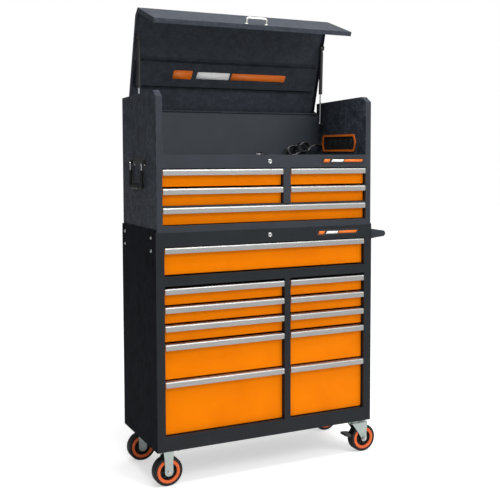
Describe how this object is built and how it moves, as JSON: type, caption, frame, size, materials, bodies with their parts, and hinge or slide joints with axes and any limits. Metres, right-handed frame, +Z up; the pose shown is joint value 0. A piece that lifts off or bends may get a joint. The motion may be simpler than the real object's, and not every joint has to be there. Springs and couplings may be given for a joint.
{
  "type": "rolling tool chest",
  "caption": "Rolling steel tool chest: lidded top chest with drawers on a wide drawer cabinet, full-width pulls, push handle, fixed and swivel casters.",
  "frame": {"origin": "on the floor, under the middle of the bounding box with the lid open and the drawers shut", "axes": "+Z up, +Y to the back, +X to the side with the push handle"},
  "size_m": [1.161, 0.4984, 2.0377],
  "materials": {
    "dark_paint": "fine textured dark grey powder coat",
    "orange_paint": "gloss orange powder coat",
    "zinc_steel": "bright zinc plate",
    "chrome": "polished",
    "black_enamel": "satin black",
    "black_plastic": "fine matt grain",
    "orange_plastic": "satin moulding",
    "cord_jacket": "matt",
    "tyre_rubber": "matt black with an orange ring on each face"
  },
  "bodies": {
    "carcass": {"cabinet_sides": "dark_paint", "back_panels": "dark_paint", "cabinet_base": "dark_paint", "cabinet_deck": "dark_paint", "cabinet_front_frame": "dark_paint", "column_dividers": "dark_paint", "chest_sides": "dark_paint", "chest_base": "dark_paint", "chest_tray": "dark_paint", "chest_front_frame": "dark_paint", "drawer_slides": "zinc_steel", "power_strip": "black_plastic", "power_strip_bezel": "orange_plastic", "power_cord": "cord_jacket", "cord_hank": "cord_jacket", "cord_plug": "black_plastic", "push_handle_bar": "black_enamel", "push_handle_mounts": "black_enamel", "side_handle_plates": "zinc_steel", "caster_plates": "zinc_steel", "rigid_forks": "zinc_steel", "chest_strut_brackets": "zinc_steel", "chest_hinge": "zinc_steel"},
    "lid": {"lid_shell": "dark_paint", "lid_stiffener": "dark_paint", "lid_pull": "chrome", "lid_brackets": "zinc_steel"},
    "strut_rod_left": {"strut_rod_left": "chrome"},
    "strut_cylinder_left": {"strut_cylinder_left": "black_enamel"},
    "strut_rod_right": {"strut_rod_right": "chrome"},
    "strut_cylinder_right": {"strut_cylinder_right": "black_enamel"},
    "chest_drawer_wide": {"chest_drawer_wide": "orange_paint"},
    "chest_drawer_left_2": {"chest_drawer_left_2": "orange_paint"},
    "chest_drawer_right_2": {"chest_drawer_right_2": "orange_paint"},
    "chest_drawer_left_1": {"chest_drawer_left_1": "orange_paint"},
    "chest_drawer_right_1": {"chest_drawer_right_1": "orange_paint"},
    "cabinet_drawer_wide": {"cabinet_drawer_wide": "orange_paint"},
    "cabinet_drawer_left_1": {"cabinet_drawer_left_1": "orange_paint"},
    "cabinet_drawer_right_1": {"cabinet_drawer_right_1": "orange_paint"},
    "cabinet_drawer_left_2": {"cabinet_drawer_left_2": "orange_paint"},
    "cabinet_drawer_right_2": {"cabinet_drawer_right_2": "orange_paint"},
    "cabinet_drawer_left_3": {"cabinet_drawer_left_3": "orange_paint"},
    "cabinet_drawer_right_3": {"cabinet_drawer_right_3": "orange_paint"},
    "cabinet_drawer_left_4": {"cabinet_drawer_left_4": "orange_paint"},
    "cabinet_drawer_right_4": {"cabinet_drawer_right_4": "orange_paint"},
    "cabinet_drawer_left_5": {"cabinet_drawer_left_5": "orange_paint"},
    "cabinet_drawer_right_5": {"cabinet_drawer_right_5": "orange_paint"},
    "chest_lock": {"chest_lock": "chrome"},
    "cabinet_lock": {"cabinet_lock": "chrome"},
    "side_handle_left": {"side_handle_left": "chrome"},
    "side_handle_right": {"side_handle_right": "chrome"},
    "swivel_fork_front": {"swivel_fork_front": "zinc_steel"},
    "wheel_right_front": {"wheel_right_front": "tyre_rubber"},
    "wheel_left_front": {"wheel_left_front": "tyre_rubber"},
    "brake_pedal_front": {"brake_pedal_front": "black_enamel"},
    "swivel_fork_rear": {"swivel_fork_rear": "zinc_steel"},
    "wheel_right_rear": {"wheel_right_rear": "tyre_rubber"},
    "wheel_left_rear": {"wheel_left_rear": "tyre_rubber"},
    "brake_pedal_rear": {"brake_pedal_rear": "black_enamel"},
    "power_switch": {"power_switch": "black_plastic"}
  },
  "joints": [
    {"name": "lid_hinge", "type": "hinge", "parent": "carcass", "child": "lid", "pos_m": [-0.045, 0.19383, 1.596], "axis": [1, 0, 0], "range_deg": [0, 71.5]},
    {"name": "strut_swing_left", "type": "hinge", "parent": "carcass", "child": "strut_rod_left", "pos_m": [-0.508, 0.13883, 1.545], "axis": [1, 0, 0], "range_deg": [0, 68.7]},
    {"name": "strut_slide_left", "type": "slide", "parent": "strut_rod_left", "child": "strut_cylinder_left", "axis": [0, -0.0406, 0.9992], "range_m": [-0.0884, 0]},
    {"name": "strut_swing_right", "type": "hinge", "parent": "carcass", "child": "strut_rod_right", "pos_m": [0.418, 0.13883, 1.545], "axis": [1, 0, 0], "range_deg": [0, 68.7]},
    {"name": "strut_slide_right", "type": "slide", "parent": "strut_rod_right", "child": "strut_cylinder_right", "axis": [0, -0.0406, 0.9992], "range_m": [-0.0884, 0]},
    {"name": "chest_drawer_wide_slide", "type": "slide", "parent": "carcass", "child": "chest_drawer_wide", "axis": [0, -1, 0], "range_m": [0, 0.385]},
    {"name": "chest_drawer_left_2_slide", "type": "slide", "parent": "carcass", "child": "chest_drawer_left_2", "axis": [0, -1, 0], "range_m": [0, 0.385]},
    {"name": "chest_drawer_right_2_slide", "type": "slide", "parent": "carcass", "child": "chest_drawer_right_2", "axis": [0, -1, 0], "range_m": [0, 0.385]},
    {"name": "chest_drawer_left_1_slide", "type": "slide", "parent": "carcass", "child": "chest_drawer_left_1", "axis": [0, -1, 0], "range_m": [0, 0.385]},
    {"name": "chest_drawer_right_1_slide", "type": "slide", "parent": "carcass", "child": "chest_drawer_right_1", "axis": [0, -1, 0], "range_m": [0, 0.385]},
    {"name": "cabinet_drawer_wide_slide", "type": "slide", "parent": "carcass", "child": "cabinet_drawer_wide", "axis": [0, -1, 0], "range_m": [0, 0.385]},
    {"name": "cabinet_drawer_left_1_slide", "type": "slide", "parent": "carcass", "child": "cabinet_drawer_left_1", "axis": [0, -1, 0], "range_m": [0, 0.385]},
    {"name": "cabinet_drawer_right_1_slide", "type": "slide", "parent": "carcass", "child": "cabinet_drawer_right_1", "axis": [0, -1, 0], "range_m": [0, 0.385]},
    {"name": "cabinet_drawer_left_2_slide", "type": "slide", "parent": "carcass", "child": "cabinet_drawer_left_2", "axis": [0, -1, 0], "range_m": [0, 0.385]},
    {"name": "cabinet_drawer_right_2_slide", "type": "slide", "parent": "carcass", "child": "cabinet_drawer_right_2", "axis": [0, -1, 0], "range_m": [0, 0.385]},
    {"name": "cabinet_drawer_left_3_slide", "type": "slide", "parent": "carcass", "child": "cabinet_drawer_left_3", "axis": [0, -1, 0], "range_m": [0, 0.385]},
    {"name": "cabinet_drawer_right_3_slide", "type": "slide", "parent": "carcass", "child": "cabinet_drawer_right_3", "axis": [0, -1, 0], "range_m": [0, 0.385]},
    {"name": "cabinet_drawer_left_4_slide", "type": "slide", "parent": "carcass", "child": "cabinet_drawer_left_4", "axis": [0, -1, 0], "range_m": [0, 0.385]},
    {"name": "cabinet_drawer_right_4_slide", "type": "slide", "parent": "carcass", "child": "cabinet_drawer_right_4", "axis": [0, -1, 0], "range_m": [0, 0.385]},
    {"name": "cabinet_drawer_left_5_slide", "type": "slide", "parent": "carcass", "child": "cabinet_drawer_left_5", "axis": [0, -1, 0], "range_m": [0, 0.385]},
    {"name": "cabinet_drawer_right_5_slide", "type": "slide", "parent": "carcass", "child": "cabinet_drawer_right_5", "axis": [0, -1, 0], "range_m": [0, 0.385]},
    {"name": "chest_lock_turn", "type": "hinge", "parent": "carcass", "child": "chest_lock", "pos_m": [-0.045, -0.24617, 1.368], "axis": [0, 1, 0], "range_deg": [0, 90]},
    {"name": "cabinet_lock_turn", "type": "hinge", "parent": "carcass", "child": "cabinet_lock", "pos_m": [-0.045, -0.24617, 1.049], "axis": [0, 1, 0], "range_deg": [0, 90]},
    {"name": "side_handle_left_fold", "type": "hinge", "parent": "carcass", "child": "side_handle_left", "pos_m": [-0.5705, -0.01017, 1.364], "axis": [0, 1, 0], "range_deg": [0, 90]},
    {"name": "side_handle_right_fold", "type": "hinge", "parent": "carcass", "child": "side_handle_right", "pos_m": [0.4805, -0.01017, 1.364], "axis": [0, -1, 0], "range_deg": [0, 90]},
    {"name": "caster_swivel_front", "type": "hinge", "parent": "carcass", "child": "swivel_fork_front", "pos_m": [0.415, -0.19117, 0.14], "axis": [0, 0, 1], "continuous": true},
    {"name": "wheel_right_front_spin", "type": "hinge", "parent": "swivel_fork_front", "child": "wheel_right_front", "pos_m": [0.46, -0.19117, 0.0635], "axis": [0, 1, 0], "continuous": true},
    {"name": "wheel_left_front_spin", "type": "hinge", "parent": "carcass", "child": "wheel_left_front", "pos_m": [-0.505, -0.19117, 0.0635], "axis": [0, 1, 0], "continuous": true},
    {"name": "brake_pedal_front_press", "type": "hinge", "parent": "swivel_fork_front", "child": "brake_pedal_front", "pos_m": [0.46, -0.19117, 0.0635], "axis": [0, -1, 0], "range_deg": [0, 12]},
    {"name": "caster_swivel_rear", "type": "hinge", "parent": "carcass", "child": "swivel_fork_rear", "pos_m": [0.415, 0.16183, 0.14], "axis": [0, 0, 1], "continuous": true},
    {"name": "wheel_right_rear_spin", "type": "hinge", "parent": "swivel_fork_rear", "child": "wheel_right_rear", "pos_m": [0.46, 0.16183, 0.0635], "axis": [0, 1, 0], "continuous": true},
    {"name": "wheel_left_rear_spin", "type": "hinge", "parent": "carcass", "child": "wheel_left_rear", "pos_m": [-0.505, 0.16183, 0.0635], "axis": [0, 1, 0], "continuous": true},
    {"name": "brake_pedal_rear_press", "type": "hinge", "parent": "swivel_fork_rear", "child": "brake_pedal_rear", "pos_m": [0.46, 0.16183, 0.0635], "axis": [0, -1, 0], "range_deg": [0, 12]},
    {"name": "power_switch_rock", "type": "hinge", "parent": "carcass", "child": "power_switch", "pos_m": [0.445, -0.11517, 1.4505], "axis": [0, 1, 0], "range_deg": [0, 10]}
  ],
  "couplings": [
    {"joint": "strut_swing_left", "follows": "lid_hinge", "ratio": 0.954},
    {"joint": "strut_slide_left", "follows": "lid_hinge", "m_per_rad": -0.07},
    {"joint": "strut_swing_right", "follows": "lid_hinge", "ratio": 0.954},
    {"joint": "strut_slide_right", "follows": "lid_hinge", "m_per_rad": -0.07}
  ]
}
